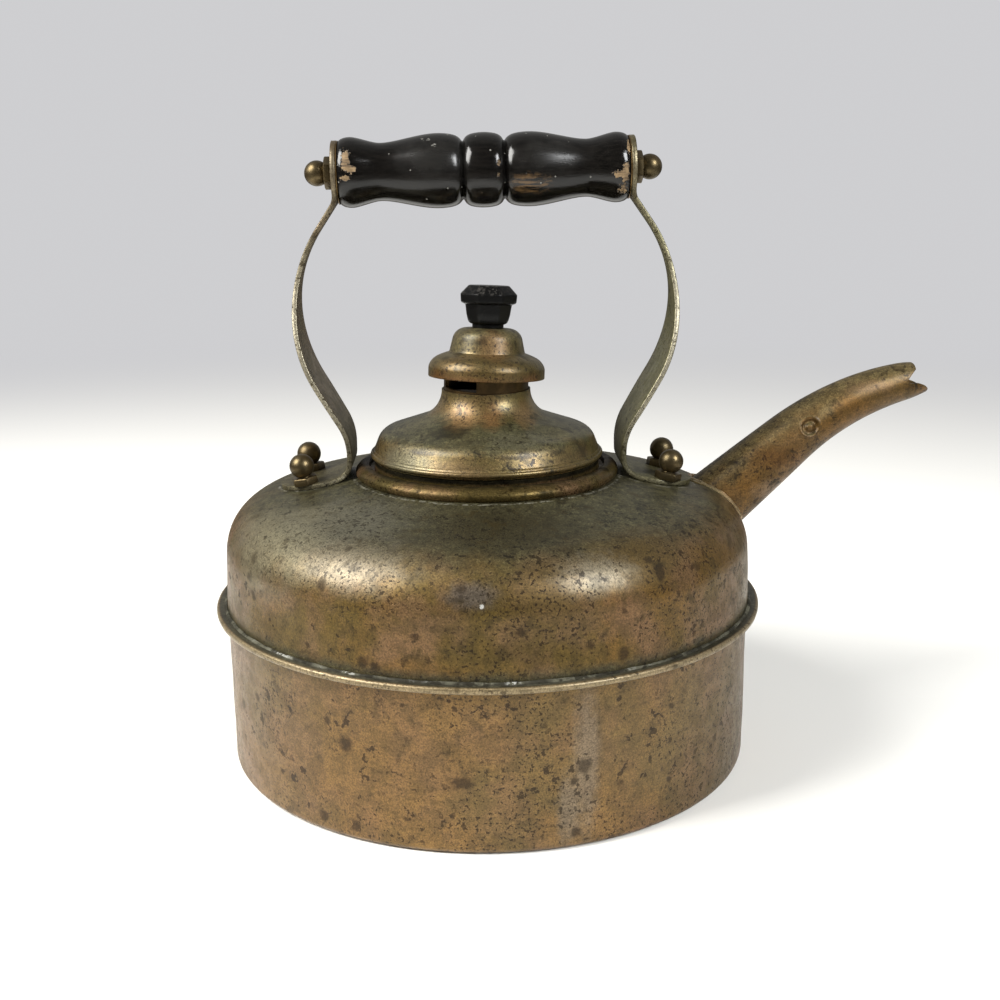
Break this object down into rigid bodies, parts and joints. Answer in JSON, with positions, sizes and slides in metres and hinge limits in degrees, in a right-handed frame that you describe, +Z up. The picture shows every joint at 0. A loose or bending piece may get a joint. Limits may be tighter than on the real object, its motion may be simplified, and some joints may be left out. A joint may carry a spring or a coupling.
{
  "type": "stove-top kettle",
  "caption": "Stove-top kettle: straight pan, rolled seam, domed shoulder, lift-off lid with a turning steam vent, beaked whistling spout and a turned wooden grip on sprung straps.",
  "frame": {"origin": "centre of the round base, on the surface the kettle stands on", "axes": "+Z up along the kettle's axis; the bail stands near the XZ plane; +X towards the spout, which points 7 degrees from +X towards +Y"},
  "size_m": [0.2798, 0.21, 0.2347],
  "materials": {
    "warm_copper": "aged copper, satin, dark pits",
    "patina_copper": "copper under an olive-grey patina",
    "patina_brass": "aged, satin, olive patina",
    "spout_copper": "brown aged copper",
    "inner_brass": "dull",
    "strap_brass": "grey-green aged brass",
    "ball_brass": "dark bronze, glossy",
    "rod_steel": "dull",
    "solder": "grey soft solder",
    "black_wood": "ebonised, worn at the ends",
    "black_plastic": "moulded, satin, scuffed"
  },
  "bodies": {
    "kettle": {"base_pan": "warm_copper", "shoulder_dome": "patina_copper", "seam_solder": "solder", "mouth_ring": "patina_brass", "spout": "spout_copper", "spout_flange": "spout_copper", "whistle_barrel": "inner_brass", "whistle_rear_plate": "inner_brass", "whistle_front_plate": "inner_brass", "left_bracket": "strap_brass", "right_bracket": "strap_brass", "grip": "black_wood", "grip_ferrules": "strap_brass", "grip_rod": "rod_steel", "grip_ball_nuts": "ball_brass", "foot_ball_nuts": "ball_brass", "foot_studs": "ball_brass", "foot_washers": "inner_brass"},
    "lid": {"lid_shell": "patina_brass", "lid_skirt": "inner_brass", "vent_collar": "inner_brass", "spindle_bridge": "inner_brass"},
    "vent_cap": {"vent_hood": "patina_brass", "vent_shutter": "inner_brass", "vent_spindle": "rod_steel", "spring_washer": "rod_steel", "spindle_nut": "ball_brass", "knob": "black_plastic"}
  },
  "joints": [
    {"name": "lid_lift", "type": "slide", "parent": "kettle", "child": "lid", "axis": [0, 0, 1], "range_m": [0, 0.027]},
    {"name": "vent_turn", "type": "hinge", "parent": "lid", "child": "vent_cap", "pos_m": [0, 0, 0.14056], "axis": [0.0401, 0, 0.9992], "continuous": true}
  ]
}
